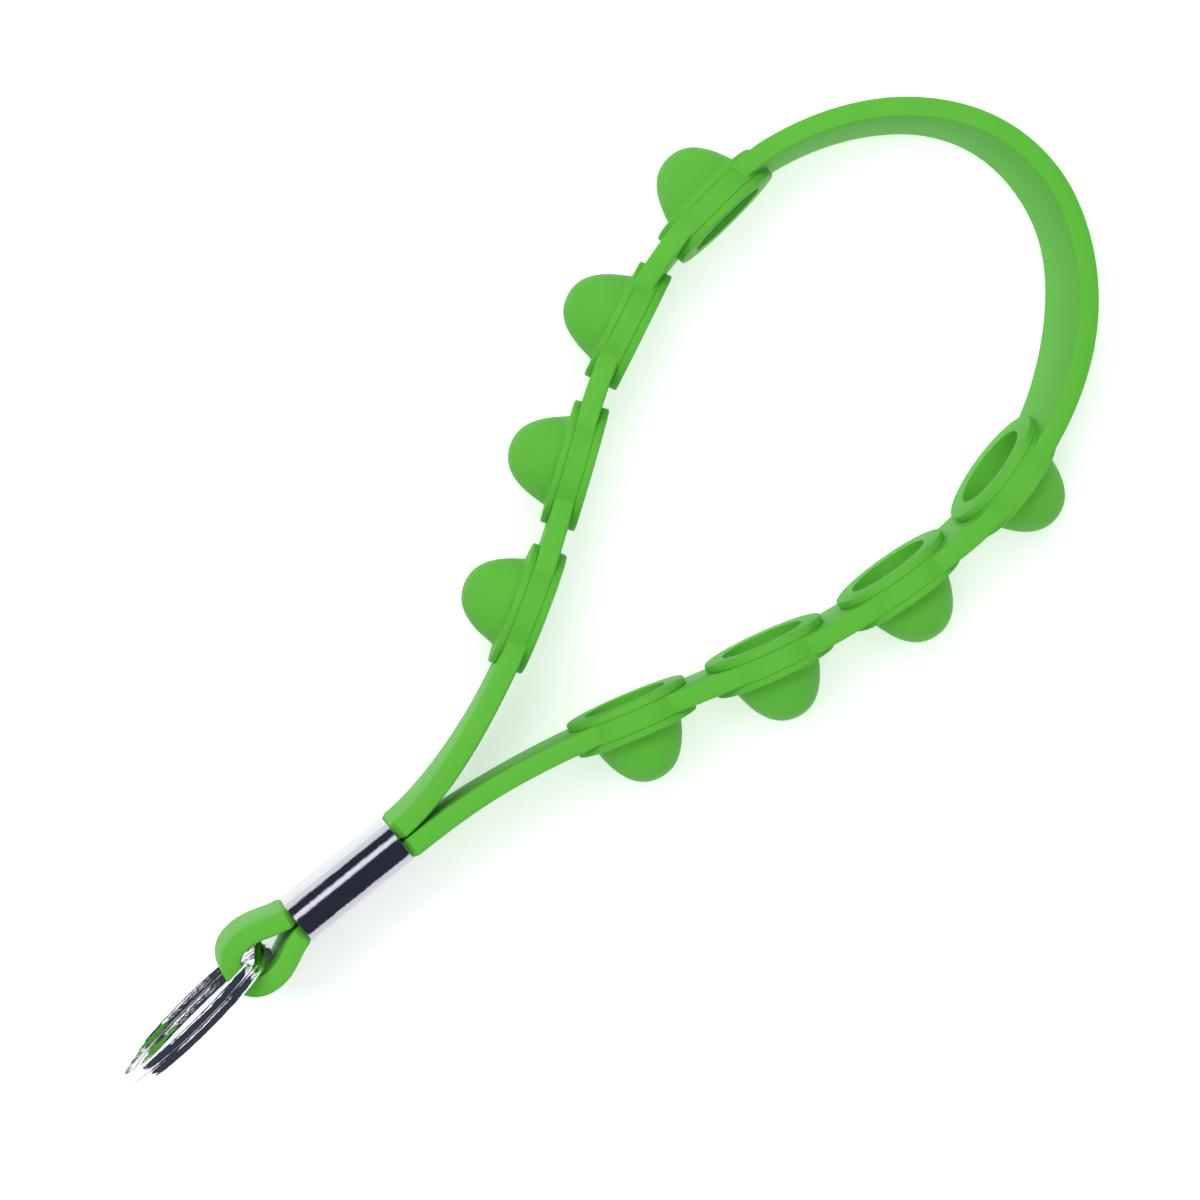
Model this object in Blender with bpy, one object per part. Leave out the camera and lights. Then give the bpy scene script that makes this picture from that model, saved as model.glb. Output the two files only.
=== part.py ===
"""Silicone hand lanyard with eight pop-through clicker domes, a ferrule and a split ring.

One flat silicone strap is folded double: both ends run through a flattened metal ferrule, the long
fold above it is the hand loop and the short fold below it is the eye that carries the split
ring. The hand loop holds eight round pads. Each pad has a hollow dome on its outer face that a
thumb pushes through to the inner face with a click.

The lanyard stands on its edge: +Y runs from the split ring to the far end of the hand loop, +X
across it, and +Z up along the strap's width. The split ring stands upright in the eye, so it
tips the whole lanyard up a little. All sizes are in metres.
"""

import math

import bmesh
import bpy
import numpy as np
from mathutils import Euler, Matrix, Vector
from mathutils.geometry import interpolate_bezier

# Strap
STRAP_THICK = 0.0029
STRAP_WIDTH = 0.0140
STRAP_ROUND = 0.0005
SEAM = 0.0001  # between two lengths of the same moulding

# Pads, measured outwards from the strap's middle plane
PAD_DIAMETER = 0.0178
OUTER_BOSS = 0.00100
INNER_BOSS = 0.00115
PAD_ROUND = 0.00025
PADS_PER_SIDE = 4
PAD_PITCH = 0.0211
FIRST_PAD = 0.0367  # along the strap from the ferrule's mouth to the first pad's middle

# Domes
DOME_RADIUS = 0.00645  # at the pad's outer face
DOME_HEIGHT = 0.0070  # above the pad's outer face
DOME_WALL = 0.0008
CROWN_RADIUS = 0.0030
FLANK_LEAN = 0.00130  # the flank's lean, over its reach up from the foot
FLANK_REACH = 0.00462
SHOULDER_REACH = 0.0032  # how far the crown's level runs out towards the flank
RUNNING_GAP = 0.00015
WALL_ROOT = 0.0015  # how far the dome's wall reaches into the pad

# Ferrule and eye
FERRULE_LENGTH = 0.0183
FERRULE_THICK = 0.0064
FERRULE_WIDTH = 0.0152
FERRULE_WALL = 0.00045
FOLD_LEAN = 7.0  # degrees that the two layers are turned about the ferrule's axis
EYE_WIDTH = 0.0099
EYE_LENGTH = 0.0127
EYE_WAIST = 0.0074  # from the ferrule to the eye's widest place
EYE_SKEW = 0.0003
SQUEEZE = 0.0006  # length over which the strap swells back to its full size
SEAT_GAP = 0.0001

# Split ring
RING_DIAMETER = 0.028
WIRE_AXIAL = 0.0012
WIRE_RADIAL = 0.0014
TURN_GAP = 0.00012
RING_LEAN = 6.5
RING_YAW = 6.0
RING_HOOK = 0.0116  # from the swing axis to the ring's middle
SWING_AXIS = (0.0004, -0.0259)
JOGGLE_AT = 25.0
JOGGLE_HALF = 11.0
RING_END = 16.0
RING_LIFT = 2.15  # degrees by which the standing ring tips the whole lanyard up

HALF_THICK = STRAP_THICK / 2
HALF_WIDTH = STRAP_WIDTH / 2
LAYER_OFFSET = HALF_THICK + SEAM  # from the ferrule's axis to each layer's middle plane
MOUTH_X = LAYER_OFFSET * math.cos(math.radians(FOLD_LEAN))
PAD_RADIUS = PAD_DIAMETER / 2
OUTER_FACE = HALF_THICK + OUTER_BOSS
INNER_FACE = HALF_THICK + INNER_BOSS
PAD_HOLE = DOME_RADIUS + RUNNING_GAP
BORE_RADIUS = FERRULE_THICK / 2 - FERRULE_WALL
FLAT_HALF = (FERRULE_WIDTH - FERRULE_THICK) / 2  # from the ferrule's axis to where its side rounds off
RING_RADIUS = (RING_DIAMETER - WIRE_RADIAL) / 2
TURN_PITCH = WIRE_AXIAL + TURN_GAP

# The hand loop's middle line, from the ferrule's mouth round to it again. Each knot gives
# X, Y, the heading in degrees, and how far its curve reaches back and ahead.
HAND_LOOP = (
    (-MOUTH_X, 0.0, 90, 0.0, 0.0097),
    (-0.0136, 0.0347, 120.5, 0.0133, 0.0177),
    (-0.0379, 0.0736, 111.9, 0.0160, 0.0090),
    (-0.0418, 0.1009, 81.9, 0.0067, 0.0141),
    (-0.0152, 0.1276, -3.2, 0.0155, 0.0141),
    (0.0159, 0.0927, -80.6, 0.0199, 0.0087),
    (0.0135, 0.0578, -105.5, 0.0089, 0.0240),
    (MOUTH_X, 0.0, -90, 0.0208, 0.0),
)
# How far the strap leans along the loop: length from the left mouth, and degrees by which its
# upper edge stands outwards.
LEANS = (
    (0.0, -FOLD_LEAN),
    (0.027, -3.0),
    (0.057, 0.0),
    (0.078, 0.5),
    (0.110, 5.0),
    (0.131, 6.0),
    (0.157, 13.5),
    (0.175, 17.0),
    (0.199, 11.5),
    (0.220, 8.3),
    (0.262, 5.0),
    (0.280, 4.3),
    (0.297, FOLD_LEAN),
)
LEG_LEVEL = 0.010  # along each leg from the mouth

ROUND_STEPS = 24
FERRULE_STEPS = 8  # round each of its two half rounds
DOME_STEPS = 8
STRAP_STEP = 0.003
EYE_STEP = 0.0013
RING_STEP = 9.0
CURVE_SAMPLES = 60


def smooth(share):
    """0 to 1 with a level start and end."""
    share = min(max(share, 0.0), 1.0)
    return share * share * (3 - 2 * share)


class Path:
    """A curve in the plane through knots, measured along its length."""

    def __init__(self, knots):
        points = [Vector((knots[0][0], knots[0][1], 0))]
        for start, end in zip(knots, knots[1:]):
            a, b = (Vector((k[0], k[1], 0)) for k in (start, end))
            ahead = Vector((math.cos(math.radians(start[2])), math.sin(math.radians(start[2])), 0))
            behind = Vector((math.cos(math.radians(end[2])), math.sin(math.radians(end[2])), 0))
            curve = interpolate_bezier(a, a + ahead * start[4], b - behind * end[3], b, CURVE_SAMPLES + 1)
            points += curve[1:]
        self.points = np.array([p[:2] for p in points])
        steps = np.linalg.norm(np.diff(self.points, axis=0), axis=1)
        self.along = np.concatenate([[0], np.cumsum(steps)])
        self.length = float(self.along[-1])

    def at(self, length):
        return Vector([float(np.interp(length, self.along, self.points[:, k])) for k in (0, 1)])

    def heading(self, length, reach=0.0006):
        back = self.at(max(length - reach, 0.0))
        ahead = self.at(min(length + reach, self.length))
        return (ahead - back).normalized()


def eye_knots():
    """The eye's middle line, from the left layer's end down and round to the right layer's end."""
    side = EYE_WIDTH / 2 - HALF_THICK
    foot = EYE_LENGTH - HALF_THICK
    return (
        (-LAYER_OFFSET, 0.0, -95, 0.0, 0.0030),
        (EYE_SKEW - side, -EYE_WAIST, -90, 0.0030, 0.0024),
        (EYE_SKEW, -foot, 0, 0.0022, 0.0022),
        (EYE_SKEW + side, -EYE_WAIST, 90, 0.0024, 0.0030),
        (LAYER_OFFSET, 0.0, 95, 0.0030, 0.0),
    )


LOOP = Path(HAND_LOOP)


def lean_at(length):
    """Degrees by which the strap's upper edge stands outwards."""
    for (start, low), (end, high) in zip(LEANS, LEANS[1:]):
        if length <= end:
            return low + (high - low) * smooth((length - start) / (end - start))
    return LEANS[-1][1]


def height_at(length):
    """The strap's middle line starts a little off the ferrule's axis, and soon comes level with it."""
    from_mouth = min(length, LOOP.length - length)
    at_mouth = -LAYER_OFFSET * math.sin(math.radians(lean_at(length)))
    return at_mouth * (1 - smooth(from_mouth / LEG_LEVEL))


def strap_frame(length):
    """The strap's middle, its heading, its inner face's normal and its width, at this length."""
    flat = LOOP.at(length)
    heading = LOOP.heading(length)
    middle = Vector((flat.x, flat.y, height_at(length)))
    ahead = Vector((heading.x, heading.y, 0))
    inwards = Vector((heading.y, -heading.x, 0))
    lean = math.radians(lean_at(length))
    width = Vector((0, 0, 1)) * math.cos(lean) - inwards * math.sin(lean)
    inner = inwards * math.cos(lean) + Vector((0, 0, 1)) * math.sin(lean)
    return middle, ahead, inner, width


def strap_outline():
    """The strap's cross-section as (towards the inner face, along the width)."""
    u, v, r = HALF_THICK, HALF_WIDTH, STRAP_ROUND
    return (
        (u, -v + r), (u, 0), (u, v - r), (u - r, v),
        (-u + r, v), (-u, v - r), (-u, 0), (-u, -v + r), (-u + r, -v), (u - r, -v),
    )


def squeezed_outline():
    """The section that one layer is pressed into inside the ferrule's flattened bore."""
    radius = BORE_RADIUS - SEAT_GAP
    found = []
    for u, v in strap_outline():
        from_axis = SEAM + (HALF_THICK - u) / STRAP_THICK * (radius - 2 * SEAM)
        reach = FLAT_HALF + math.sqrt(radius**2 - from_axis**2)
        found.append((LAYER_OFFSET - from_axis, v / HALF_WIDTH * reach))
    return found


def mixed(first, second, share):
    return [(a[0] + (b[0] - a[0]) * share, a[1] + (b[1] - a[1]) * share) for a, b in zip(first, second)]


def material(name, colour, roughness, metallic=0.0):
    made = bpy.data.materials.get(name) or bpy.data.materials.new(name)
    made.use_nodes = True
    shader = made.node_tree.nodes["Principled BSDF"]
    shader.inputs["Base Color"].default_value = (*colour, 1)
    shader.inputs["Roughness"].default_value = roughness
    shader.inputs["Metallic"].default_value = metallic
    return made


def silicone(name):
    return material("silicone_" + name, (0.115, 0.50, 0.055), 0.42)


def node(name, bm, finish, sharp=35):
    """Makes an object from the mesh that bm holds."""
    bmesh.ops.remove_doubles(bm, verts=bm.verts, dist=1e-7)
    bmesh.ops.recalc_face_normals(bm, faces=bm.faces)
    mesh = bpy.data.meshes.new(name)
    bm.to_mesh(mesh)
    bm.free()
    mesh.shade_smooth()
    mesh.set_sharp_from_angle(angle=math.radians(sharp))
    mesh.materials.append(finish)
    made = bpy.data.objects.new(name, mesh)
    bpy.context.scene.collection.objects.link(made)
    return made


def lofted(name, rings, finish):
    """A closed solid through rings of points. A last ring that is the first one joins up with it."""
    bm = bmesh.new()
    verts = [[bm.verts.new(p) for p in ring] for ring in rings]
    for low, high in zip(verts, verts[1:]):
        for k in range(len(low)):
            after = (k + 1) % len(low)
            bm.faces.new((low[k], low[after], high[after], high[k]))
    if rings[0] is not rings[-1]:
        for end in (verts[0], verts[-1]):
            bm.faces.new(end)
    return node(name, bm, finish)


def turned(name, profile, finish, steps=ROUND_STEPS, sharp=35):
    """Spins a profile of (radius, height) about Z. One that touches the axis is left open there."""
    bm = bmesh.new()
    verts = [bm.verts.new((r, 0, z)) for r, z in profile]
    ends = list(zip(verts, verts[1:]))
    if profile[0][0] > 0:
        ends.append((verts[-1], verts[0]))
    edges = [bm.edges.new(pair) for pair in ends]
    bmesh.ops.spin(
        bm, geom=verts + edges, angle=math.tau, steps=steps, use_merge=True, axis=(0, 0, 1), cent=(0, 0, 0)
    )
    return node(name, bm, finish, sharp)


def strap_rings(start, end, step):
    """Sections of the strap between two lengths, no further apart than step."""
    count = max(1, math.ceil((end - start) / step))
    rings = []
    for k in range(count + 1):
        length = start + (end - start) * k / count
        middle, _, inner, width = strap_frame(length)
        rings.append([middle + inner * u + width * v for u, v in strap_outline()])
    return rings


def pad_station(side, number):
    """Length along the loop of a pad's middle. Pads are counted from the ferrule on each side."""
    along = FIRST_PAD + (number - 1) * PAD_PITCH
    return along if side == "left" else LOOP.length - along


def pad_matrix(side, number):
    """A pad's place: its origin on the dome's axis in the strap's middle plane, Z outwards."""
    length = pad_station(side, number)
    before, after = (strap_frame(length + reach)[0] for reach in (-PAD_RADIUS, PAD_RADIUS))
    _, _, inner, _ = strap_frame(length)
    ahead = (after - before).normalized()
    outwards = (-inner - ahead * ahead.dot(-inner)).normalized()
    across = outwards.cross(ahead)
    turn = Matrix((ahead, across, outwards)).transposed().to_4x4()
    middle = (before + after) / 2
    return Matrix.Translation(middle) @ turn


def pad_cutter(side, number):
    """A round guide that clears the strap's ends from a pad's rim."""
    bm = bmesh.new()
    bmesh.ops.create_cone(
        bm,
        cap_ends=True,
        segments=ROUND_STEPS,
        radius1=PAD_RADIUS + SEAM,
        radius2=PAD_RADIUS + SEAM,
        depth=4 * STRAP_THICK,
    )
    cutter = node(f"clearance_{side}_{number}", bm, silicone("guide"))
    cutter.hide_render = True
    cutter.display_type = "WIRE"
    return cutter


def make_pad(side, number):
    r, edge = PAD_RADIUS, PAD_ROUND
    profile = (
        (PAD_HOLE, -INNER_FACE),
        (r - edge, -INNER_FACE),
        (r, -INNER_FACE + edge),
        (r, OUTER_FACE - edge),
        (r - edge, OUTER_FACE),
        (PAD_HOLE, OUTER_FACE),
    )
    return turned(f"pad_{side}_{number}", profile, silicone("pad"))


def dome_outline(inset=0.0):
    """Points of (radius, height) from the dome's foot to its crown, inset by part of its wall."""
    foot = Vector((DOME_RADIUS, OUTER_FACE, 0))
    crown = Vector((0, OUTER_FACE + DOME_HEIGHT, 0))
    flank = foot + Vector((-FLANK_LEAN, FLANK_REACH, 0))
    shoulder = crown + Vector((SHOULDER_REACH, 0, 0))
    curve = interpolate_bezier(foot, flank, shoulder, crown, DOME_STEPS + 1)
    found = []
    for k, point in enumerate(curve):
        along = (curve[min(k + 1, DOME_STEPS)] - curve[max(k - 1, 0)]).normalized()
        inside = Vector((-along.y, along.x, 0))
        if k == DOME_STEPS:
            inside = Vector((0, -1, 0))
        found.append((point + inside * inset)[:2])
    return found


def split_at(outline, radius):
    """The outline's two parts, outside and inside this radius, each with a point on it."""
    outer = [p for p in outline if p[0] > radius]
    inner = [p for p in outline if p[0] < radius]
    (r1, z1), (r2, z2) = outer[-1], inner[0]
    met = (radius, z1 + (z2 - z1) * (radius - r1) / (r2 - r1))
    return outer + [met], [met] + inner


def make_dome_wall(side, number):
    """The dome's flank: a ring that slides through the pad as the dome turns inside out."""
    outer, _ = split_at(dome_outline(), CROWN_RADIUS + RUNNING_GAP)
    inner, _ = split_at(dome_outline(DOME_WALL), CROWN_RADIUS + RUNNING_GAP)
    root = OUTER_FACE - WALL_ROOT
    profile = [(DOME_RADIUS - DOME_WALL, root), (DOME_RADIUS, root)] + outer + inner[::-1]
    return turned(f"dome_wall_{side}_{number}", profile, silicone("dome"))


def make_dome_crown(side, number):
    """The dome's crown, which a thumb presses."""
    _, outer = split_at(dome_outline(), CROWN_RADIUS)
    _, inner = split_at(dome_outline(DOME_WALL), CROWN_RADIUS)
    profile = inner[::-1] + outer
    return turned(f"dome_crown_{side}_{number}", profile, silicone("dome"))


def put(made, matrix):
    made.matrix_world = matrix
    return made


def make_clickers():
    for side in ("left", "right"):
        for number in range(1, PADS_PER_SIDE + 1):
            place = pad_matrix(side, number)
            for make in (make_pad, make_dome_wall, make_dome_crown):
                put(make(side, number), place)


def clear_of_pads(made, pads):
    """Cuts the strap's ends round to fit the rims of these pads."""
    for side, number in pads:
        cutter = put(pad_cutter(side, number), pad_matrix(side, number))
        cut = made.modifiers.new(cutter.name, "BOOLEAN")
        cut.object = cutter


def make_links():
    """The short lengths of strap between neighbouring pads."""
    for side in ("left", "right"):
        for number in range(1, PADS_PER_SIDE):
            ends = sorted(pad_station(side, n) for n in (number, number + 1))
            link = lofted(f"link_{side}_{number}", strap_rings(*ends, STRAP_STEP), silicone("strap"))
            clear_of_pads(link, ((side, number), (side, number + 1)))


def make_hand_arc():
    """The bare strap round the hand loop's far end, in three lengths."""
    start, end = (pad_station(side, PADS_PER_SIDE) for side in ("left", "right"))
    third = (end - start) / 3
    for k, name in enumerate(("left", "top", "right")):
        low = start + third * k + (SEAM if k else 0)
        arc = lofted(f"hand_arc_{name}", strap_rings(low, start + third * (k + 1), STRAP_STEP), silicone("strap"))
        if name != "top":
            clear_of_pads(arc, ((name, PADS_PER_SIDE),))


def leg_rings(side):
    """One layer from the ferrule's lower end, through its bore, to the nearest pad."""
    mouth = 0.0 if side == "left" else LOOP.length
    sign = 1 if side == "left" else -1
    middle, ahead, inner, width = strap_frame(mouth)
    rings = []
    for down in (FERRULE_LENGTH - SEAM, 0.0):
        at = middle - Vector((0, down, 0))
        rings.append([at + inner * u + width * v for u, v in squeezed_outline()])
    count = math.ceil(FIRST_PAD / STRAP_STEP)
    lengths = [SQUEEZE / 2, SQUEEZE] + [FIRST_PAD * k / count for k in range(1, count + 1)]
    for along in lengths:
        outline = mixed(squeezed_outline(), strap_outline(), smooth(along / SQUEEZE))
        middle, _, inner, width = strap_frame(mouth + sign * along)
        rings.append([middle + inner * u + width * v for u, v in outline])
    return rings


def make_legs():
    for side in ("left", "right"):
        leg = lofted(f"leg_{side}", leg_rings(side), silicone("strap"))
        clear_of_pads(leg, ((side, 1),))


def make_eye():
    """The short fold below the ferrule, which holds the split ring."""
    path = Path(eye_knots())
    count = math.ceil(path.length / EYE_STEP)
    lengths = [path.length * k / count for k in range(count + 1)]
    lengths = sorted(lengths + [SQUEEZE, path.length - SQUEEZE])
    rings = []
    for length in lengths:
        from_end = min(length, path.length - length)
        outline = mixed(squeezed_outline(), strap_outline(), smooth(from_end / SQUEEZE))
        flat = path.at(length)
        heading = path.heading(length) if from_end > SQUEEZE / 2 else Vector((0, -1 if length < SQUEEZE else 1))
        inner = Vector((-heading.y, heading.x, 0))
        middle = Vector((flat.x, flat.y, 0))
        rings.append([middle + inner * u + Vector((0, 0, v)) for u, v in outline])
    eye = lofted("eye_fold", rings, silicone("strap"))
    turn = Matrix.Rotation(math.radians(FOLD_LEAN), 4, "Y")
    put(eye, Matrix.Translation((0, -FERRULE_LENGTH, 0)) @ turn)


def flattened(radius, along):
    """A ring of points round the ferrule: two half rounds of this radius joined by two flats."""
    found = []
    for top in (1, -1):
        for k in range(FERRULE_STEPS + 1):
            turned_by = math.pi * k / FERRULE_STEPS
            x, z = radius * math.cos(turned_by), FLAT_HALF + radius * math.sin(turned_by)
            found.append(Vector((x * top, along, z * top)))
    return found


def make_ferrule():
    """The flattened metal sleeve pressed over both layers."""
    outer, half = FERRULE_THICK / 2, FERRULE_LENGTH / 2
    edge = FERRULE_WALL / 3
    profile = (
        (BORE_RADIUS, -half),
        (outer - edge, -half),
        (outer, -half + edge),
        (outer, half - edge),
        (outer - edge, half),
        (BORE_RADIUS, half),
    )
    rings = [flattened(radius, along) for radius, along in profile]
    ferrule = lofted("ferrule", rings + rings[:1], material("bright_metal", (0.80, 0.80, 0.82), 0.08, 1.0))
    turn = Matrix.Rotation(math.radians(FOLD_LEAN), 4, "Y")
    put(ferrule, Matrix.Translation((0, -half, 0)) @ turn)


def wire_outline():
    """The flattened wire's section as (along the ring's axis, away from its middle)."""
    a, b = WIRE_AXIAL / 2, WIRE_RADIAL / 2
    corner = WIRE_AXIAL * 0.28
    return (
        (a, -b + corner), (a, b - corner), (a - corner, b), (-a + corner, b),
        (-a, b - corner), (-a, -b + corner), (-a + corner, -b), (a - corner, -b),
    )


def make_split_ring():
    """Two turns of wire side by side, which cross over once where the wire's two ends meet.

    Its origin is on the axis that it swings about in the eye.
    """
    start = JOGGLE_AT + RING_END
    sweep = 720 - 2 * RING_END
    count = math.ceil(sweep / RING_STEP)
    rings = []
    for k in range(count + 1):
        angle = start + sweep * k / count
        crossed = smooth((angle - 360 - JOGGLE_AT + JOGGLE_HALF) / (2 * JOGGLE_HALF))
        side = TURN_PITCH * (crossed - 0.5)
        turned_by = math.radians(angle)
        away = Vector((0, math.cos(turned_by), math.sin(turned_by)))
        middle = Vector((side, -RING_HOOK, 0)) + away * RING_RADIUS
        rings.append([middle + Vector((a, 0, 0)) + away * b for a, b in wire_outline()])
    ring = lofted("split_ring", rings, material("nickel_plate", (0.78, 0.78, 0.80), 0.12, 1.0))
    turn = Euler((0, math.radians(RING_LEAN), math.radians(RING_YAW))).to_matrix().to_4x4()
    put(ring, Matrix.Translation((*SWING_AXIS, 0)) @ turn)


def stand_on_origin():
    """Tips the lanyard on to its ring and its farthest pads, with the origin under its middle."""
    root = bpy.data.objects.new("lanyard", None)
    bpy.context.scene.collection.objects.link(root)
    parts = [o for o in bpy.context.scene.objects if o.type == "MESH"]
    for made in parts:
        made.parent = root
    root.rotation_euler.x = -math.radians(RING_LIFT)
    bpy.context.view_layer.update()
    corners = [o.matrix_world @ v.co for o in parts if not o.hide_render for v in o.data.vertices]
    low, high = (Vector([pick(c[k] for c in corners) for k in range(3)]) for pick in (min, max))
    root.location = (-(low.x + high.x) / 2, -(low.y + high.y) / 2, -low.z)
    bpy.context.view_layer.update()


def main():
    for old in list(bpy.data.objects):
        bpy.data.objects.remove(old, do_unlink=True)
    make_eye()
    make_legs()
    make_ferrule()
    make_links()
    make_hand_arc()
    make_clickers()
    make_split_ring()
    stand_on_origin()


main()
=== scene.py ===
# %% [markdown]
# # A silicone clicker lanyard
#
# The object is one lime-green silicone moulding: a flat strap with round pads, each carrying a
# hollow dome that clicks when a thumb pushes it through. A flattened metal sleeve holds the
# strap's two layers, and a split ring hangs in the small eye below it. This lesson builds the
# looks round a finished mechanical model, so the first cell loads that model and measures it.

import math

import bpy
import numpy as np
from mathutils import Euler, Matrix, Vector
from mathutils.geometry import interpolate_bezier


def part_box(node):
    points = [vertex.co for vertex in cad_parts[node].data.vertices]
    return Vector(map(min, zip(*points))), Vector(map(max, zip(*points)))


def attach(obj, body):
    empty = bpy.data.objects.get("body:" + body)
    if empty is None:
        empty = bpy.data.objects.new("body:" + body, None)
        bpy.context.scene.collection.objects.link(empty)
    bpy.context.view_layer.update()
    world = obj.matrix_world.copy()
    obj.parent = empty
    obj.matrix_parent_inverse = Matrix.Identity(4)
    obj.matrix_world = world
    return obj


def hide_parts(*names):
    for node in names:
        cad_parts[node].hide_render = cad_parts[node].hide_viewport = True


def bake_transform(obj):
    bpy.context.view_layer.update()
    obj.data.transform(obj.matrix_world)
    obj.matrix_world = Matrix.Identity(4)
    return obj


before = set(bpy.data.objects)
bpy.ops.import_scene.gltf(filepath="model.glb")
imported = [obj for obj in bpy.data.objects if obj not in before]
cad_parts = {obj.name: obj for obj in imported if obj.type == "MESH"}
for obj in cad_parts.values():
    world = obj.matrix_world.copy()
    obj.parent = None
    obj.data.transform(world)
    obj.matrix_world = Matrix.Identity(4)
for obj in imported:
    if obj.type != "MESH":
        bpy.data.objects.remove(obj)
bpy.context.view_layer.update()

# %% [markdown]
# Everything below is easier in the lanyard's own frame: its origin is the middle of the sleeve's
# upper mouth, +Y runs along the sleeve towards the hand loop, and Z runs along the strap's width.
# The sleeve's box gives where that frame sits in the scene. The standing split ring tips the
# whole lanyard up by a couple of degrees.

# %% The lanyard's own frame
SLEEVE_LENGTH = 0.0183
RING_LIFT = math.radians(2.15)

sleeve_low, sleeve_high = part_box("ferrule")
TO_SCENE = (
    Matrix.Translation((sleeve_low + sleeve_high) / 2)
    @ Matrix.Rotation(-RING_LIFT, 4, "X")
    @ Matrix.Translation((0, SLEEVE_LENGTH / 2, 0))
)
print("sleeve mouth at", [round(c, 4) for c in TO_SCENE.translation])

# %% [markdown]
# Blender's operators act on whatever is selected, and loading a model leaves its parts selected.
# These helpers make one object the only one that an operator sees, and pick points by their place.


# %% Helpers for working on one object
def only(made):
    """Selects this object and nothing else."""
    if bpy.context.mode != "OBJECT":
        bpy.ops.object.mode_set(mode="OBJECT")
    bpy.ops.object.select_all(action="DESELECT")
    made.select_set(True)
    bpy.context.view_layer.objects.active = made
    return made


def named(name):
    """Names the primitive that was just added."""
    made = bpy.context.object
    made.name = made.data.name = name
    return only(made)


def editing(made):
    """Opens this object in edit mode with everything in it selected."""
    only(made)
    bpy.ops.object.mode_set(mode="EDIT")
    bpy.ops.mesh.select_all(action="SELECT")


def picking(made, wanted, kind="FACE"):
    """Opens this object in edit mode with only the faces, or points, that pass the test selected."""
    only(made)
    bpy.ops.object.mode_set(mode="EDIT")
    bpy.ops.mesh.select_mode(type=kind)
    bpy.ops.mesh.select_all(action="DESELECT")
    bpy.ops.object.mode_set(mode="OBJECT")
    for item in made.data.polygons if kind == "FACE" else made.data.vertices:
        item.select = wanted(item)
    bpy.ops.object.mode_set(mode="EDIT")


def finished():
    """Leaves edit mode with all faces pointing outwards."""
    bpy.ops.mesh.select_all(action="SELECT")
    bpy.ops.mesh.normals_make_consistent(inside=False)
    bpy.ops.object.mode_set(mode="OBJECT")


def modified(made, kind, **settings):
    """Adds a modifier with these settings and applies it."""
    only(made)
    modifier = made.modifiers.new(kind.title(), kind)
    for key, value in settings.items():
        setattr(modifier, key, value)
    bpy.ops.object.modifier_apply(modifier=modifier.name)


def in_place(made, matrix):
    """Writes a placement into the mesh, so that the object itself stays at the origin."""
    made.data.transform(matrix)
    made.matrix_world = Matrix.Identity(4)
    return made


def copied(made, name):
    """Another object of the same shape, with its own mesh."""
    twin = made.copy()
    twin.data = made.data.copy()
    twin.name = twin.data.name = name
    bpy.context.scene.collection.objects.link(twin)
    return twin


def facing_out(made):
    """Turns an open shell's faces away from its middle, so that its wall grows inwards."""
    outwards = sum(face.normal.dot(face.center) * face.area for face in made.data.polygons)
    if outwards < 0:
        editing(made)
        bpy.ops.mesh.flip_normals()
        bpy.ops.object.mode_set(mode="OBJECT")


def smoothed(made, degrees=35):
    """Shades round faces smooth and keeps edges sharper than this angle crisp."""
    only(made)
    bpy.ops.object.shade_smooth_by_angle(angle=math.radians(degrees))
    return made


def ends_of(made):
    """The lowest and highest corner of the box round this object's points."""
    points = np.array([vertex.co for vertex in made.data.vertices])
    return points.min(axis=0), points.max(axis=0)


print("helpers ready")

# %% [markdown]
# ## Camera, floor and light
#
# The lanyard is seen from straight above, turned so that the hand loop runs up to the right. A
# long lens from over a metre away keeps it free of perspective, as a product shot has it. The
# Standard view keeps the silicone's strong green and lets the floor reach plain white.

# %% Camera
VIEW_WIDTH = 0.168
LENS = 250.0
SENSOR = 36.0
AIM = Vector((-0.00815, 0.0429, 0))
VIEW_RIGHT = Vector((0.626, 0.779, 0))  # the scene's direction across the view

aim = TO_SCENE @ AIM
camera_data = bpy.data.cameras.new("camera")
camera_data.lens = LENS
camera_data.sensor_width = SENSOR
camera = bpy.data.objects.new("camera", camera_data)
bpy.context.scene.collection.objects.link(camera)
distance = VIEW_WIDTH * LENS / SENSOR
camera.location = (aim.x, aim.y, aim.z + distance)
camera.rotation_euler = (0, 0, math.atan2(VIEW_RIGHT.y, VIEW_RIGHT.x))
bpy.context.scene.camera = camera
bpy.context.scene.view_settings.view_transform = "Standard"
print("camera", round(distance, 3), "m above the strap")

# %% [markdown]
# The floor is a plain white light table. It is a wide matt disc with a faint glow of its own, so
# that it takes almost no shadow and sends light back up under the strap.


# %% Floor
def plain(name, colour, roughness, **sockets):
    """A material with only fixed numbers on its shader."""
    made = bpy.data.materials.new(name)
    made.use_nodes = True
    shader = made.node_tree.nodes["Principled BSDF"]
    shader.inputs["Base Color"].default_value = (*colour, 1)
    shader.inputs["Roughness"].default_value = roughness
    for key, value in sockets.items():
        shader.inputs[key.replace("_", " ")].default_value = value
    return made


FLOOR_RADIUS = 3.0
FLOOR_LEVEL = -0.0002
FLOOR_GLOW = {"Emission_Color": (1, 1, 1, 1), "Emission_Strength": 0.42}
bpy.ops.mesh.primitive_circle_add(
    vertices=96, radius=FLOOR_RADIUS, fill_type="NGON", location=(0, 0, FLOOR_LEVEL)
)
floor = named("floor")
floor.data.materials.append(plain("floor_white", (0.90, 0.90, 0.90), 0.9, **FLOOR_GLOW))
print("floor", floor.name)


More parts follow.
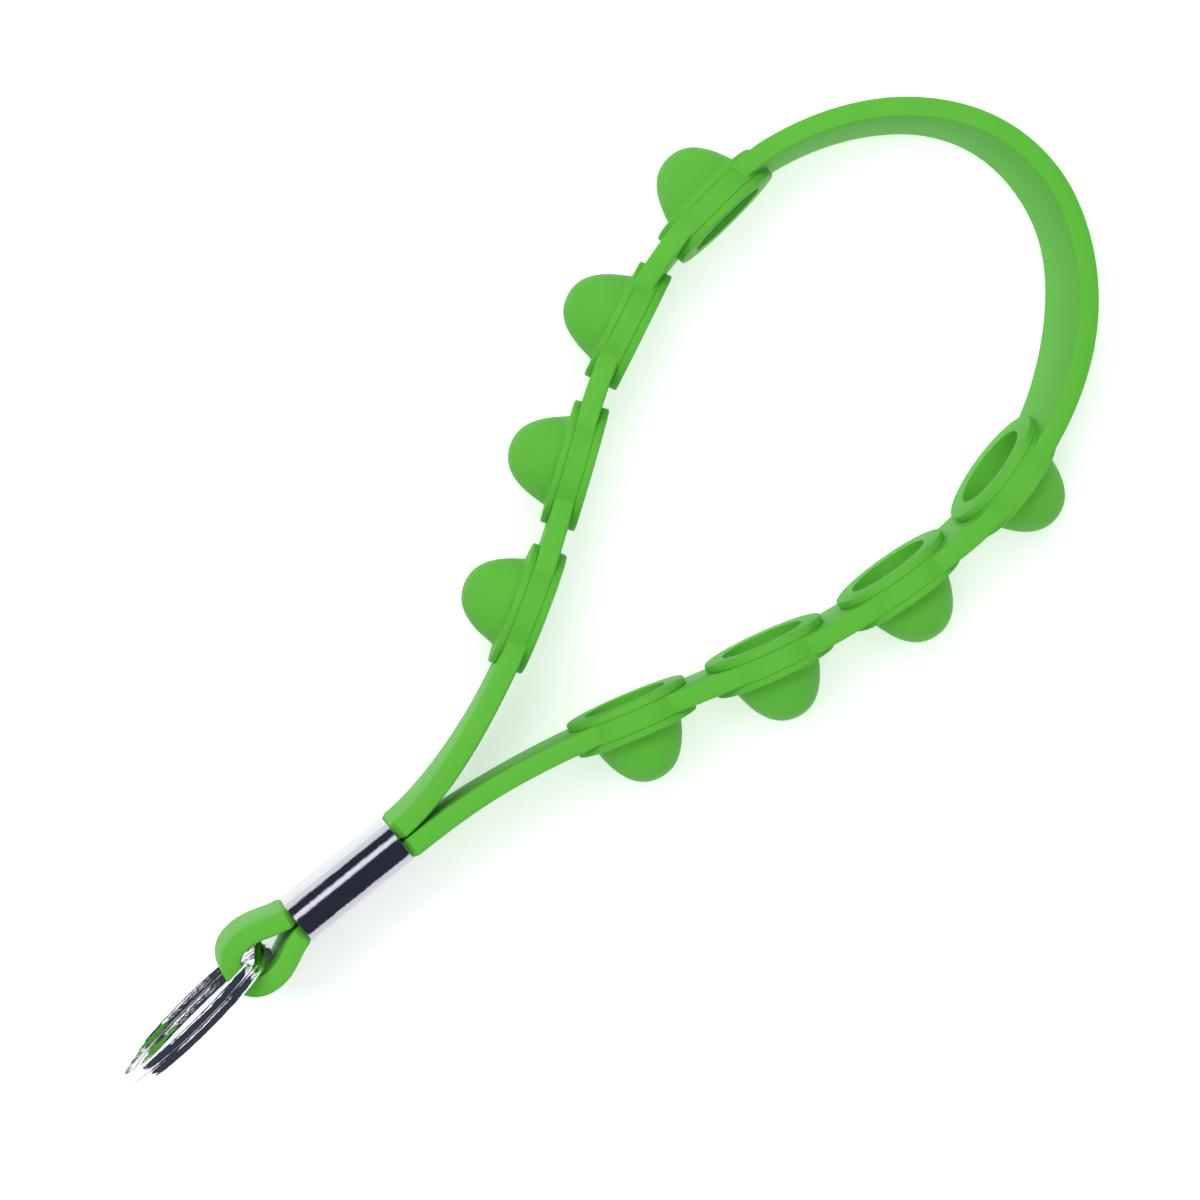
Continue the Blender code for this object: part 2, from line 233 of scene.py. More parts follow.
# %% [markdown]
# Polished metal shows the room more than itself. A long strip light about thirty degrees off the
# vertical, on the left, draws the white stripe down the sleeve. The sleeve's left flank shows
# the white floor, and the rest of it the dim room. A wide key from the same side and two wide
# fills light the silicone. They are hidden from reflections, so the metal keeps its dark bands.


# %% Lights
def softbox(name, place, size, power, mirrored=True):
    """An area light that faces the lanyard, with its length running along the sleeve."""
    data = bpy.data.lights.new(name, "AREA")
    data.shape = "RECTANGLE"
    data.size_y, data.size = size
    data.energy = power
    made = bpy.data.objects.new(name, data)
    bpy.context.scene.collection.objects.link(made)
    made.location = Vector(place)
    made.rotation_euler = (-Vector(place)).to_track_quat("-Z", "Y").to_euler()
    made.visible_glossy = mirrored
    return made


softbox("strip", (-0.84, 0.0, 1.59), (0.80, 2.8), 11)
softbox("key", (-0.9, 0.0, 1.56), (0.9, 2.0), 7, mirrored=False)
softbox("right_fill", (1.3, 0.0, 1.2), (1.2, 2.0), 5, mirrored=False)
softbox("fill_above", (0.0, 0.0, 2.2), (2.4, 2.4), 32, mirrored=False)

world = bpy.data.worlds.new("studio")
bpy.context.scene.world = world
world.use_nodes = True
dim_room = world.node_tree.nodes["Background"]
dim_room.inputs["Color"].default_value = (0.045, 0.05, 0.075, 1)
dim_room.inputs["Strength"].default_value = 1.0

# %% [markdown]
# ## Finishes
#
# Shader maths reads best as ordinary expressions. This small class wraps a node socket, so that
# `a * b + 1` adds the Math nodes it needs, and `node` adds any other kind of node.


# %% Shader expressions
class Value:
    """A socket of one material, with arithmetic."""

    def __init__(self, tree, socket):
        self.tree, self.socket = tree, socket

    def _math(self, operation, *values):
        return self.node("ShaderNodeMath", {"operation": operation}, dict(enumerate(values)))

    def node(self, kind, settings, inputs, output=0):
        """Adds a node: its settings are set first, then its sockets are filled or linked."""
        made = self.tree.nodes.new(kind)
        for key, value in settings.items():
            setattr(made, key, value)
        for key, value in inputs.items():
            if isinstance(value, Value):
                self.tree.links.new(value.socket, made.inputs[key])
            else:
                made.inputs[key].default_value = value
        return Value(self.tree, made.outputs[output])

    def __add__(self, other):
        return self._math("ADD", self, other)

    def __sub__(self, other):
        return self._math("SUBTRACT", self, other)

    def __rsub__(self, other):
        return self._math("SUBTRACT", other, self)

    def __mul__(self, other):
        return self._math("MULTIPLY", self, other)

    __radd__ = __add__
    __rmul__ = __mul__


def place_on(material, stretch=(1, 1, 1)):
    """The point on the piece that is being shaded, in metres, stretched to shape a pattern."""
    tree = material.node_tree
    start = Value(tree, tree.nodes.new("ShaderNodeTexCoord").outputs["Object"])
    return start.node("ShaderNodeMapping", {}, {"Vector": start, "Scale": stretch})


def noise(place, scale, detail=2.0, roughness=0.5):
    """A cloudy pattern from about 0 to 1. A larger scale makes it finer."""
    inputs = {"Vector": place, "Scale": scale, "Detail": detail, "Roughness": roughness}
    return place.node("ShaderNodeTexNoise", {}, inputs)


def feed(material, **sockets):
    """Links values to the shader's sockets."""
    shader = material.node_tree.nodes["Principled BSDF"]
    for key, value in sockets.items():
        material.node_tree.links.new(value.socket, shader.inputs[key.replace("_", " ")])


MIX_FIRST, MIX_SECOND, MIX_RESULT = 6, 7, 2  # a Mix node's colour sockets, which share names


def mixed(share, low, high):
    """A colour between two, by a value from 0 to 1."""
    inputs = {"Factor": share, MIX_FIRST: (*low, 1), MIX_SECOND: (*high, 1)}
    return share.node("ShaderNodeMix", {"data_type": "RGBA"}, inputs, output=MIX_RESULT)


def bumped(height, distance):
    """A surface that rises by this distance, in metres, where the height goes from 0 to 1."""
    return height.node("ShaderNodeBump", {}, {"Height": height, "Distance": distance})


print("shader helpers ready")

# %% [markdown]
# Silicone is a soft satin plastic that lets a little light in. Its green is nearly even, with
# slow drifts in the pigment, faint finger-polished patches that shine more, and a fine grain
# that the mould's matt steel leaves on the surface.

# %% Silicone
silicone = plain(
    "lime_silicone",
    (0.13, 0.52, 0.06),
    0.5,
    Subsurface_Weight=0.15,
    Subsurface_Scale=0.0012,
    Subsurface_Radius=(0.5, 1.0, 0.25),
    IOR=1.2,
)
place = place_on(silicone)
pigment = noise(place, 60, 3)
handled = noise(place, 140, 3)
grain = noise(place, 5200, 2, 0.6)
pores = noise(place, 1500, 2)
feed(
    silicone,
    Base_Color=mixed(pigment, (0.112, 0.500, 0.046), (0.142, 0.548, 0.060)),
    Roughness=0.44 + 0.16 * handled,
    Normal=bumped(grain * 0.7 + pores * 0.3, 0.00003),
)
print("silicone ready")

# %% [markdown]
# The sleeve could be pressed from bright plated sheet. Pressing leaves fine ripples across it, so
# the edges of its reflections are a little ragged, and handling leaves fine scratches along it. The
# split ring is plated spring wire, whose surface is slightly uneven from drawing and coiling.

# %% Plated metals
sleeve_metal = plain("plated_sleeve", (0.80, 0.80, 0.84), 0.12, Metallic=1.0)
across = place_on(sleeve_metal, stretch=(0.35, 1.0, 0.35))
fine = place_on(sleeve_metal, stretch=(1.0, 0.02, 1.0))
ripple = noise(across, 2600, 3, 0.65)
scratches = noise(fine, 9000, 2)
feed(
    sleeve_metal,
    Base_Color=mixed(scratches, (0.38, 0.38, 0.43), (0.58, 0.58, 0.64)),
    Roughness=0.05 + 0.10 * scratches * ripple,
    Normal=bumped(ripple + 0.12 * scratches, 0.00005),
)

ring_metal = plain("nickel_wire", (0.84, 0.84, 0.86), 0.12, Metallic=1.0)
drawn = noise(place_on(ring_metal, stretch=(2.0, 0.6, 0.6)), 700, 2, 0.5)
worn = noise(place_on(ring_metal), 420, 2)
feed(
    ring_metal,
    Base_Color=mixed(worn, (0.72, 0.72, 0.75), (0.92, 0.92, 0.94)),
    Roughness=0.06 + 0.12 * worn,
    Normal=bumped(drawn, 0.00014),
)
print("metals ready")

# %% [markdown]
# ## The strap
#
# The strap is made as one closed circuit: round the hand loop, down through the sleeve, round
# the eye and back up. On the real moulding, ends that meet would be hidden in the sleeve or would
# not exist at all, and both look the same. A curve is the natural way to make it. Its line is laid
# through a few knots, each with a heading, and its tilt leans the strap a little, by an amount
# that changes along its length.
#
# The knots of the hand loop repeat the mechanical model's. They were worked out by a separate
# fitting script and pasted in, so they are not an example of how to choose knots: better ones
# would be placed by hand, a few round numbers at a time.

# %% The strap's line
STRAP_THICK, STRAP_WIDTH = 0.0029, 0.0140
STRAP_ROUND = 0.0004
LAYER_GAP = 0.0002  # between the two layers in the sleeve
LAYER_OFFSET = STRAP_THICK / 2 + LAYER_GAP / 2
FOLD_LEAN = 7.0  # degrees that the two layers are turned about the sleeve's axis
MOUTH_X = LAYER_OFFSET * math.cos(math.radians(FOLD_LEAN))
CURVE_SAMPLES = 60

# Each knot: X, Y, heading in degrees, and how far its curve reaches back and ahead.
HAND_LOOP = (
    (-MOUTH_X, 0.0, 90, 0.0, 0.0097),
    (-0.0136, 0.0347, 120.5, 0.0133, 0.0177),
    (-0.0379, 0.0736, 111.9, 0.0160, 0.0090),
    (-0.0418, 0.1009, 81.9, 0.0067, 0.0141),
    (-0.0152, 0.1276, -3.2, 0.0155, 0.0141),
    (0.0159, 0.0927, -80.6, 0.0199, 0.0087),
    (0.0135, 0.0578, -105.5, 0.0089, 0.0240),
    (MOUTH_X, 0.0, -90, 0.0208, 0.0),
)
# Length along the loop, and degrees by which the strap's upper edge stands outwards.
LEANS = (
    (0.0, -FOLD_LEAN),
    (0.027, -3.0),
    (0.057, 0.0),
    (0.078, 0.5),
    (0.110, 5.0),
    (0.131, 6.0),
    (0.157, 13.5),
    (0.175, 17.0),
    (0.199, 11.5),
    (0.220, 8.3),
    (0.262, 5.0),
    (0.280, 4.3),
    (0.297, FOLD_LEAN),
)
LEG_LEVEL = 0.010  # along each leg, until its middle line is level with the sleeve's axis
LOOP_STEP = 0.0009


def eased(share):
    """0 to 1 with a level start and end."""
    share = min(max(share, 0.0), 1.0)
    return share * share * (3 - 2 * share)


def headed(degrees):
    """The direction at this angle from +X, in the plane of the loop."""
    return Vector((math.cos(math.radians(degrees)), math.sin(math.radians(degrees)), 0))


def laid(knots, step):
    """Points every step along the curve through these knots, and their lengths along it."""
    points = [Vector((knots[0][0], knots[0][1], 0))]
    for start, end in zip(knots, knots[1:]):
        a, b = (Vector((k[0], k[1], 0)) for k in (start, end))
        ahead, behind = (headed(k[2]) for k in (start, end))
        reached = interpolate_bezier(a, a + ahead * start[4], b - behind * end[3], b, CURVE_SAMPLES)
        points += reached[1:]
    line = np.array(points)
    along = np.concatenate([[0], np.cumsum(np.linalg.norm(np.diff(line, axis=0), axis=1))])
    count = round(along[-1] / step)
    lengths = np.linspace(0, along[-1], count + 1)
    return [Vector([np.interp(s, along, line[:, k]) for k in range(3)]) for s in lengths], lengths


def lean_at(length):
    """Degrees by which the strap's upper edge stands outwards, this far along the loop."""
    for (start, low), (end, high) in zip(LEANS, LEANS[1:]):
        if length <= end:
            return low + (high - low) * eased((length - start) / (end - start))
    return LEANS[-1][1]


loop_points, loop_lengths = laid(HAND_LOOP, LOOP_STEP)
loop_length = loop_lengths[-1]
print("hand loop", round(loop_length * 1000, 1), "mm of strap")

# %% [markdown]
# The eye's line is drawn flat and then turned about the sleeve's axis with the two layers, so
# the loop, the sleeve and the eye all join up. Each point also gets the direction of the
# strap's width there.

# %% The circuit, with the strap's width at each point
EYE_WIDTH, EYE_LENGTH, EYE_WAIST, EYE_SKEW = 0.0099, 0.0127, 0.0074, 0.0003
EYE_STEP = 0.0004
EYE_REACH = 0.0030  # of the curves from the sleeve to the eye's waist
WAIST_REACH, FOOT_REACH = 0.0024, 0.0022  # of the curves round the eye's foot
PRESSED = 0.84  # how much of its size the strap keeps inside the sleeve
SWELL = 0.0007  # along the strap from the mouth, until it has its full size again
INSET = 0.0012  # from the sleeve's mouths to the first point inside it
SLEEVE_POINTS = 9

fold_turn = Matrix.Rotation(math.radians(FOLD_LEAN), 3, "Y")
fold_width = fold_turn @ Vector((0, 0, 1))
half_eye = EYE_WIDTH / 2 - STRAP_THICK / 2
eye_foot = EYE_LENGTH - STRAP_THICK / 2
eye_points, eye_lengths = laid(
    (
        (LAYER_OFFSET, 0.0, -85, 0.0, EYE_REACH),
        (EYE_SKEW + half_eye, -EYE_WAIST, -90, EYE_REACH, WAIST_REACH),
        (EYE_SKEW, -eye_foot, 180, FOOT_REACH, FOOT_REACH),
        (EYE_SKEW - half_eye, -EYE_WAIST, 90, WAIST_REACH, EYE_REACH),
        (-LAYER_OFFSET, 0.0, 85, EYE_REACH, 0.0),
    ),
    EYE_STEP,
)

circuit = []  # (point, the width's direction, size)
for k, (point, length) in enumerate(zip(loop_points, loop_lengths)):
    from_mouth = min(length, loop_length - length)
    ahead = loop_points[min(k + 1, len(loop_points) - 1)]
    behind = loop_points[max(k - 1, 0)]
    heading = (ahead - behind).normalized()
    lean = math.radians(lean_at(length))
    inwards = Vector((heading.y, -heading.x, 0))
    width = Vector((0, 0, 1)) * math.cos(lean) - inwards * math.sin(lean)
    lifted = -LAYER_OFFSET * math.sin(lean) * (1 - eased(from_mouth / LEG_LEVEL))
    size = PRESSED + (1 - PRESSED) * eased(from_mouth / SWELL)
    circuit.append((point + Vector((0, 0, lifted)), width, size))
pressed_offset = LAYER_OFFSET * PRESSED
depths = np.linspace(INSET, SLEEVE_LENGTH - INSET, SLEEVE_POINTS)
for depth in depths:
    circuit.append((fold_turn @ Vector((pressed_offset, -depth, 0)), fold_width, PRESSED))
for point, length in zip(eye_points, eye_lengths):
    from_end = min(length, eye_lengths[-1] - length)
    size = PRESSED + (1 - PRESSED) * eased(from_end / SWELL)
    circuit.append((fold_turn @ (point - Vector((0, SLEEVE_LENGTH, 0))), fold_width, size))
for depth in depths[::-1]:
    circuit.append((fold_turn @ Vector((-pressed_offset, -depth, 0)), fold_width, PRESSED))
print("circuit of", len(circuit), "points")

# %% [markdown]
# A curve's Z-up twist keeps a section upright, so its tilt is the angle from upright to the
# width wanted there. The section is a rounded rectangle. Turning the curve into a mesh gives the
# strap as one closed band.


# %% Sweep the strap
def section(name, wide, high, round_off, corner_steps=4):
    """A closed outline of a rectangle with rounded corners, to sweep along a curve."""
    data = bpy.data.curves.new(name, "CURVE")
    spline = data.splines.new("POLY")
    points = []
    corners = ((1, 1, 0), (-1, 1, 90), (-1, -1, 180), (1, -1, 270))
    for sx, sy, start in corners:
        for k in range(corner_steps + 1):
            turned = math.radians(start + 90 * k / corner_steps)
            x = sx * (wide / 2 - round_off) + round_off * math.cos(turned)
            y = sy * (high / 2 - round_off) + round_off * math.sin(turned)
            points.append((x, y, 0, 1))
    spline.points.add(len(points) - 1)
    spline.points.foreach_set("co", [c for p in points for c in p])
    spline.use_cyclic_u = True
    made = bpy.data.objects.new(name, data)
    bpy.context.scene.collection.objects.link(made)
    return made


def tilt_to(heading, width):
    """The angle about the heading from upright to this width."""
    upright = (Vector((0, 0, 1)) - heading * heading.z).normalized()
    return math.atan2(upright.cross(width).dot(heading), upright.dot(width))


def swept(name, points, tilts, sizes, outline, closed, twist):
    """A mesh made by sweeping an outline along a curve through these points."""
    data = bpy.data.curves.new(name, "CURVE")
    data.dimensions = "3D"
    data.twist_mode = twist
    data.bevel_mode = "OBJECT"
    data.bevel_object = outline
    data.use_fill_caps = not closed
    spline = data.splines.new("POLY")
    spline.points.add(len(points) - 1)
    for knot, point, tilt, size in zip(spline.points, points, tilts, sizes):
        knot.co = (*point, 1)
        knot.tilt = tilt
        knot.radius = size
    spline.use_cyclic_u = closed
    made = bpy.data.objects.new(name, data)
    bpy.context.scene.collection.objects.link(made)
    only(made)
    bpy.ops.object.convert(target="MESH")
    made = bpy.context.object
    made.name = made.data.name = name
    bpy.data.objects.remove(outline)
    return made


strap_points = [point for point, _, _ in circuit]
tilts = []
for k, (point, width, _) in enumerate(circuit):
    heading = (strap_points[(k + 1) % len(circuit)] - strap_points[k - 1]).normalized()
    tilts.append(tilt_to(heading, width))
outline = section("strap_section", STRAP_THICK, STRAP_WIDTH, STRAP_ROUND)
sizes = [size for _, _, size in circuit]
strap = swept("silicone_band", strap_points, tilts, sizes, outline, True, "Z_UP")
in_place(strap, TO_SCENE)
editing(strap)
bpy.ops.mesh.remove_doubles(threshold=0.00001)
finished()
low, high = ends_of(strap)
print("strap", len(strap.data.vertices), "points,", (1000 * (high - low)).round(1), "mm")

# %% [markdown]
# ## The pads
#
# Each pad is a disc moulded round the strap, about a millimetre proud of it on both faces. The
# mechanical model says where each pad is: its middle, and the way to the middle of its dome.

# %% Where the pads are
PAD_RADIUS = 0.0089
OUTER_BOSS, INNER_BOSS = 0.00100, 0.00115  # how far the pad stands out from the strap's two faces
OUTER_FACE = STRAP_THICK / 2 + OUTER_BOSS
INNER_FACE = STRAP_THICK / 2 + INNER_BOSS
PAD_HOLE = 0.0061
PADS = [f"{side}_{number}" for side in ("left", "right") for number in range(1, 5)]


def points_of(node):
    """A mechanical part's points."""
    return np.array([vertex.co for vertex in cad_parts[node].data.vertices])


def pad_frame(pad):
    """A pad's place: Z out through its dome, X along the strap."""
    points = points_of("pad_" + pad)
    heart = Vector(points.mean(axis=0))
    outwards = (Vector(points_of("dome_crown_" + pad).mean(axis=0)) - heart).normalized()
    reach = (points - points.mean(axis=0)) @ np.array(outwards)
    middle = heart + outwards * ((reach.min() + reach.max()) / 2)
    middle -= outwards * (OUTER_FACE - INNER_FACE) / 2
    up = TO_SCENE.to_3x3() @ Vector((0, 0, 1))
    ahead = up.cross(outwards).normalized()
    turn = Matrix((ahead, outwards.cross(ahead), outwards)).transposed().to_4x4()
    return Matrix.Translation(middle) @ turn


pad_frames = {pad: pad_frame(pad) for pad in PADS}
print("pads", {pad: [round(1000 * c, 1) for c in m.translation] for pad, m in pad_frames.items()})

# %% [markdown]
# The eight pads are alike, so one is modelled and copied. It starts as a circle that is extruded
# up in steps. Two of the steps pull in a hair and out again, which leaves fine grooves where a
# mould's plates would meet. The pad, the dome and the sleeve are all raised by the same helper.


# %% Model one pad
def risen(steps, radius):
    """Extrudes the selected ring up through steps of (radius, height)."""
    for (_, before), (wanted, height) in zip(steps, steps[1:]):
        bpy.ops.mesh.extrude_region_move(TRANSFORM_OT_translate={"value": (0, 0, height - before)})
        share = wanted / radius
        bpy.ops.transform.resize(value=(share, share, 1), center_override=(0, 0, height))
        radius = wanted
    return radius


EDGE = 0.00025
GROOVE = 0.00012
HALF = STRAP_THICK / 2
SOFTENED = 0.3  # of the edge's size, where its two chamfers meet
pad_steps = (
    (PAD_RADIUS - EDGE, -INNER_FACE),
    (PAD_RADIUS - EDGE * SOFTENED, -INNER_FACE + EDGE * SOFTENED),
    (PAD_RADIUS, -INNER_FACE + EDGE),
    (PAD_RADIUS, -HALF - GROOVE),
    (PAD_RADIUS - GROOVE, -HALF),
    (PAD_RADIUS + GROOVE * 0.5, -HALF + GROOVE),
    (PAD_RADIUS + GROOVE * 0.5, HALF - GROOVE),
    (PAD_RADIUS - GROOVE, HALF),
    (PAD_RADIUS, HALF + GROOVE),
    (PAD_RADIUS, OUTER_FACE - EDGE),
    (PAD_RADIUS - EDGE * SOFTENED, OUTER_FACE - EDGE * SOFTENED),
    (PAD_RADIUS - EDGE, OUTER_FACE),
)
bpy.ops.mesh.primitive_circle_add(vertices=128, radius=pad_steps[0][0], fill_type="NGON")
pad_form = named("pad_form")
in_place(pad_form, Matrix.Translation((0, 0, pad_steps[0][1])))
editing(pad_form)
risen(pad_steps, pad_steps[0][0])
finished()
print("pad of", len(pad_form.data.polygons), "faces")

# %% [markdown]
# Where the strap meets a pad it flares out smoothly to the pad's own width, so that its edge runs
# over the pad without a notch. The strap's points came off the curve ring by ring, so each ring
# near a pad is widened about its own middle.


# %% Flare the strap into the pads
FLARE_FROM, FLARE_TO = 0.0039, 0.0085  # along the strap, from a pad's middle
RING_POINTS = len(strap.data.vertices) // len(circuit)


def half_width_at(away):
    """Half of the strap's width this far along it from a pad's middle."""
    if away > FLARE_TO:
        return STRAP_WIDTH / 2
    round_edge = math.sqrt(PAD_RADIUS**2 - min(away, FLARE_FROM) ** 2)
    faded = eased((away - FLARE_FROM) / (FLARE_TO - FLARE_FROM))
    slid = -FLARE_FROM / round_edge * max(away - FLARE_FROM, 0) * (1 - faded)
    return (round_edge + slid) * (1 - faded) + STRAP_WIDTH / 2 * faded - GROOVE


for k, (point, width, _) in enumerate(circuit):
    heart = TO_SCENE @ point
    away = min((heart - m.translation).length for m in pad_frames.values())
    if away > FLARE_TO:
        continue
    across = (TO_SCENE.to_3x3() @ width).normalized()
    wider = half_width_at(away) / (STRAP_WIDTH / 2) - 1
    for vertex in strap.data.vertices[k * RING_POINTS : (k + 1) * RING_POINTS]:
        vertex.co += across * across.dot(vertex.co - heart) * wider
print("flared with", RING_POINTS, "points a ring")

# %% [markdown]
# The eight pads are joined to the strap with one Boolean union, and their holes are then cut
# with one difference, so the moulding becomes a single skin with no inner walls.


# %% Join the pads to the strap
def joined(parts, name):
    """One object made of all of these."""
    only(parts[0])
    for part in parts[1:]:
        part.select_set(True)
    bpy.ops.object.join()
    made = bpy.context.object
    made.name = name
    return made


discs = [in_place(copied(pad_form, "disc_" + pad), pad_frames[pad]) for pad in PADS]
discs = joined(discs, "discs")
modified(strap, "BOOLEAN", operation="UNION", object=discs, solver="EXACT")

bpy.ops.mesh.primitive_cylinder_add(vertices=128, radius=PAD_HOLE, depth=4 * OUTER_FACE)
hole_form = named("hole_form")
holes = [in_place(copied(hole_form, "hole_" + pad), pad_frames[pad]) for pad in PADS]
holes = joined(holes, "holes")
modified(strap, "BOOLEAN", operation="DIFFERENCE", object=holes, solver="EXACT")
for spent in (discs, holes, pad_form, hole_form):
    bpy.data.objects.remove(spent)
smoothed(strap, 30)
strap.data.materials.clear()
strap.data.materials.append(silicone)
print("band", len(strap.data.vertices), "points", len(strap.data.polygons), "faces")

# %% [markdown]
# This one skin takes the place of all the mechanical parts that the moulding's fixed length is
# divided into: the legs, the links, the arc, the eye and the pads. It stays with the band's body.

# %% Let the skin stand for the moulding's fixed parts
BAND_NODES = [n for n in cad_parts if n.startswith(("leg_", "link_", "hand_arc_", "eye_", "pad_"))]
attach(strap, "band")
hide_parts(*BAND_NODES)
print("band stands for", len(BAND_NODES), "parts")

# %% [markdown]
# ## The domes
#
# A dome is a thin shell, a little more pointed than half a ball. It is raised from a circle by
# extruding and scaling a ring at a time, closed at the crown, and given its wall by Solidify.
# Its root is buried in the pad, and a small fillet runs round its foot.

# %% Model one dome
DOME_RADIUS, DOME_HEIGHT, DOME_WALL = 0.00645, 0.0070, 0.0008
ROOT_DEPTH = 0.0012
DOME_RINGS = 22
FLANK_IN, FLANK_UP = 0.00130, 0.00462  # how far the curve leans in and climbs from the foot
CROWN_ROUND = 0.0032  # how far it runs out level from the crown
FILLET = 0.00022
ROOT_IN = 0.0001
foot = Vector((DOME_RADIUS, OUTER_FACE, 0))
crown = Vector((0, OUTER_FACE + DOME_HEIGHT, 0))
flank = foot + Vector((-FLANK_IN, FLANK_UP, 0))
shoulder = crown + Vector((CROWN_ROUND, 0, 0))
rings = interpolate_bezier(foot, flank, shoulder, crown, DOME_RINGS)[:-1]
dome_steps = [
    (DOME_RADIUS - ROOT_IN, OUTER_FACE - ROOT_DEPTH),
    (DOME_RADIUS + FILLET, OUTER_FACE - FILLET),
    (DOME_RADIUS + FILLET, OUTER_FACE),
    (DOME_RADIUS + FILLET * 0.3, OUTER_FACE + FILLET * 0.4),
]
dome_steps += [(ring.x, ring.y) for ring in rings[1:]]
bpy.ops.mesh.primitive_circle_add(vertices=96, radius=dome_steps[0][0], fill_type="NOTHING")
dome_form = named("dome_form")
in_place(dome_form, Matrix.Translation((0, 0, dome_steps[0][1])))
editing(dome_form)
last_radius = risen(dome_steps, dome_steps[0][0])
bpy.ops.mesh.extrude_region_move(TRANSFORM_OT_translate={"value": (0, 0, crown.y - dome_steps[-1][1])})
bpy.ops.mesh.merge(type="CENTER")
finished()
facing_out(dome_form)
modified(dome_form, "SOLIDIFY", thickness=DOME_WALL, offset=-1.0, use_even_offset=True)
smoothed(dome_form, 50)
dome_form.data.materials.append(silicone)
print("dome", len(dome_form.data.polygons), "faces, last ring", round(1000 * last_radius, 2), "mm")

# %% [markdown]
# The dome is copied onto each pad, in place of the mechanical dome's wall and crown. On the real
# lanyard a pushed dome keeps its foot on the pad while its crown travels through the hole; each
# copy here stays in its raised shape.

# %% Place the eight domes
for pad in PADS:
    dome = in_place(copied(dome_form, "dome_" + pad), pad_frames[pad])
    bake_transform(dome)
    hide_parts("dome_wall_" + pad, "dome_crown_" + pad)
bpy.data.objects.remove(dome_form)
print("domes placed", len(PADS))

# %% [markdown]
# ## The sleeve
#
# The sleeve is a short tube squeezed flat over the doubled strap. A circle is extruded into a
# tube with a ring of faces at each rim. The tube is flattened by moving its two halves apart, its
# wall is given by Solidify, and its two rims are rounded with a bevel. A fine groove along its
# left side stands for the seam where the sheet's edges would meet.

# %% Model the sleeve
SLEEVE_THICK, SLEEVE_WIDTH, SLEEVE_WALL = 0.0064, 0.0152, 0.00045
half_flat = (SLEEVE_WIDTH - SLEEVE_THICK) / 2
RIM, RIM_ROUND = 0.0007, 0.00014
SEAM_DEPTH, SEAM_WIDTH = 0.00022, 0.00014
SEAM_RISE = 0.55  # of the way up the sleeve's flat side
tube_radius = SLEEVE_THICK / 2
tube_steps = [(tube_radius, y) for y in (-SLEEVE_LENGTH / 2, RIM - SLEEVE_LENGTH / 2)]
tube_steps += [(tube_radius, -y) for _, y in tube_steps[::-1]]
bpy.ops.mesh.primitive_circle_add(vertices=128, radius=tube_radius, fill_type="NOTHING")
sleeve = named("sleeve")
in_place(sleeve, Matrix.Translation((0, 0, tube_steps[0][1])))
editing(sleeve)
risen(tube_steps, tube_radius)
finished()
in_place(sleeve, Matrix.Rotation(math.radians(90), 4, "X"))
for sign in (1, -1):
    picking(sleeve, lambda point: point.co.z * sign > 0.00001, "VERT")
    bpy.ops.transform.translate(value=(0, 0, sign * half_flat))
    bpy.ops.object.mode_set(mode="OBJECT")
facing_out(sleeve)
modified(sleeve, "SOLIDIFY", thickness=SLEEVE_WALL, offset=-1.0, use_even_offset=True)
modified(sleeve, "BEVEL", width=RIM_ROUND, segments=3, limit_method="ANGLE", angle_limit=math.radians(40))

bpy.ops.mesh.primitive_cube_add(size=1)
seam = named("seam_cut")
in_place(
    seam,
    Matrix.Translation((-tube_radius, 0, half_flat * SEAM_RISE))
    @ Matrix.Diagonal((SEAM_DEPTH, 2 * SLEEVE_LENGTH, SEAM_WIDTH, 1)),
)
modified(sleeve, "BOOLEAN", operation="DIFFERENCE", object=seam, solver="EXACT")
bpy.data.objects.remove(seam)
sleeve_turn = Matrix.Rotation(math.radians(FOLD_LEAN), 4, "Y")
in_place(sleeve, TO_SCENE @ Matrix.Translation((0, -SLEEVE_LENGTH / 2, 0)) @ sleeve_turn)
smoothed(sleeve, 35)
sleeve.data.materials.append(sleeve_metal)
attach(sleeve, "band")
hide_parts("ferrule")
print("sleeve", len(sleeve.data.polygons), "faces")

# %% [markdown]
# ## The split ring
#
# A split ring is one length of spring wire wound twice. The turns lie side by side, and where
# the wire's two ends meet it steps across from one layer to the other. A curve follows that
# wire, and a small rounded section is swept along it.

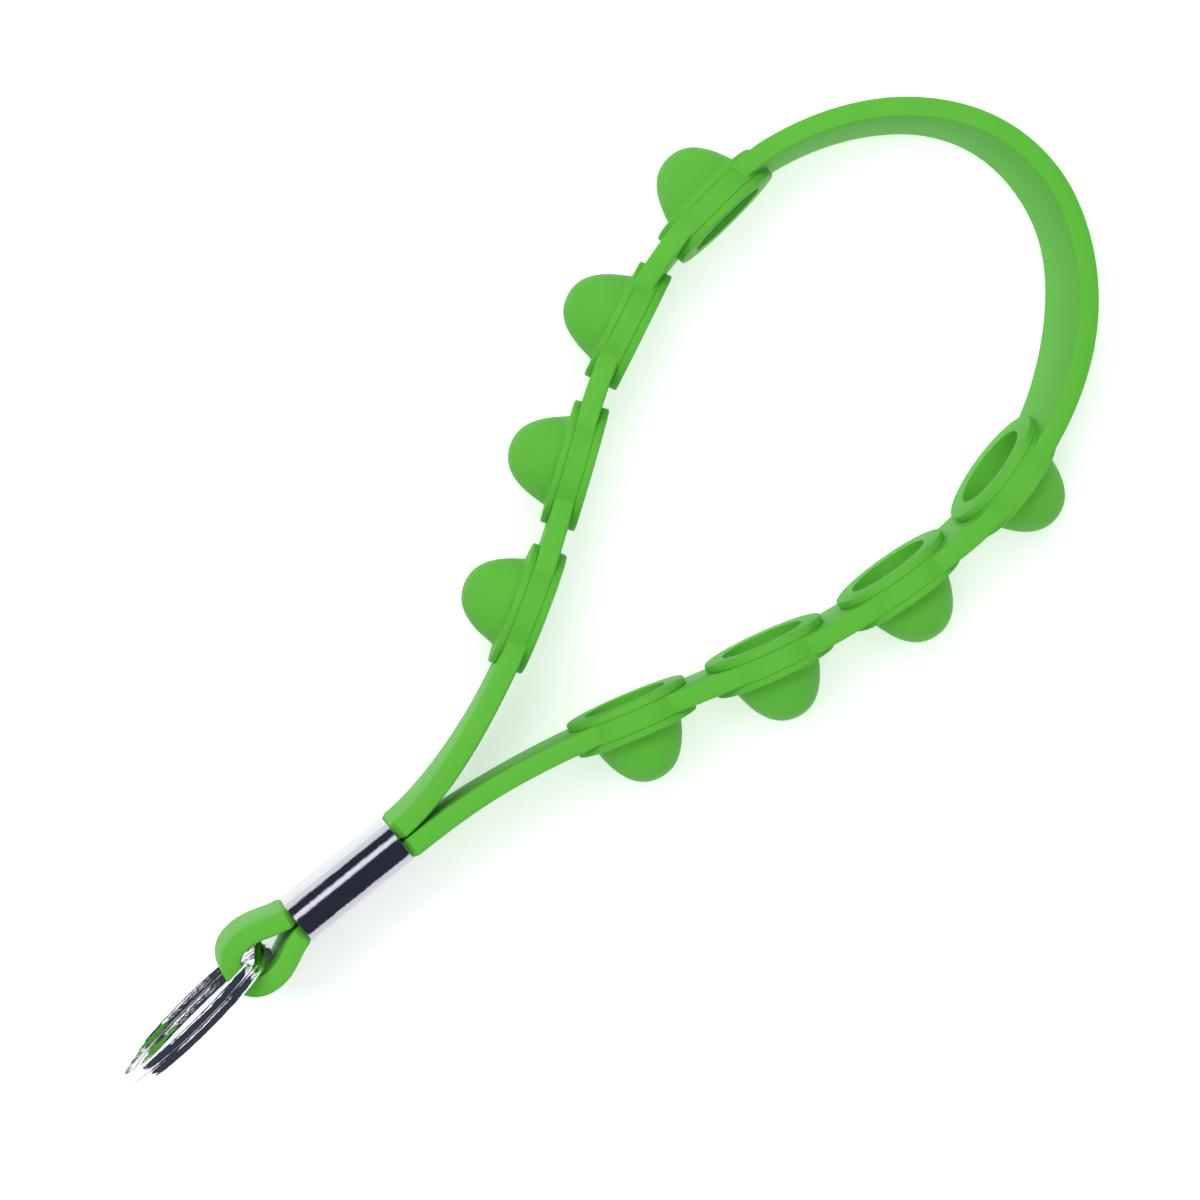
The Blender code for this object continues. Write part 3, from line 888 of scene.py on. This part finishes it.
# %% Wind the split ring
RING_DIAMETER = 0.028
WIRE_AXIAL, WIRE_RADIAL = 0.0012, 0.0014
TURN_GAP = 0.00012
TURN_PITCH = WIRE_AXIAL + TURN_GAP
RING_HOOK = 0.0116  # from the swing axis to the ring's middle
SWING_AXIS = (0.0004, -0.0259, 0)
RING_TURN = Euler((0, math.radians(6.5), math.radians(6.0)))  # its lean and its turn in the eye
# Degrees round the ring: where the wire steps across, half the step's reach, and from there to
# the wire's ends.
JOGGLE_AT, JOGGLE_HALF, RING_END = 25.0, 11.0, 16.0
WIRE_ROUND, WIRE_END_ROUND = 0.36 * WIRE_AXIAL, 0.00022
WIRE_STEP = 3  # degrees
ring_radius = (RING_DIAMETER - WIRE_RADIAL) / 2
ring_sweep = 720 - 2 * RING_END
ring_count = round(ring_sweep / WIRE_STEP)

wire_points = []
for k in range(ring_count + 1):
    angle = JOGGLE_AT + RING_END + ring_sweep * k / ring_count
    crossed = eased((angle - 360 - JOGGLE_AT + JOGGLE_HALF) / (2 * JOGGLE_HALF))
    turned = math.radians(angle)
    away = Vector((0, math.cos(turned), math.sin(turned)))
    wire_points.append(Vector((TURN_PITCH * (crossed - 0.5), -RING_HOOK, 0)) + away * ring_radius)
wire_outline = section("wire_section", WIRE_RADIAL, WIRE_AXIAL, WIRE_ROUND, corner_steps=5)
level = [0.0] * len(wire_points)
full = [1.0] * len(wire_points)
ring = swept("split_ring_wire", wire_points, level, full, wire_outline, False, "MINIMUM")
picking(ring, lambda face: len(face.vertices) > 8)  # the two cut ends
bpy.ops.mesh.bevel(offset=WIRE_END_ROUND, segments=4, affect="EDGES")
finished()
in_place(ring, TO_SCENE @ Matrix.Translation(SWING_AXIS) @ RING_TURN.to_matrix().to_4x4())
smoothed(ring, 45)
ring.data.materials.clear()
ring.data.materials.append(ring_metal)
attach(ring, "ring")
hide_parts("split_ring")
low, high = ends_of(ring)
cad_low, cad_high = (np.array(c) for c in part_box("split_ring"))
off = np.abs(np.concatenate([low - cad_low, high - cad_high])).max()
print("ring within", round(1000 * off, 2), "mm of its mechanical twin")
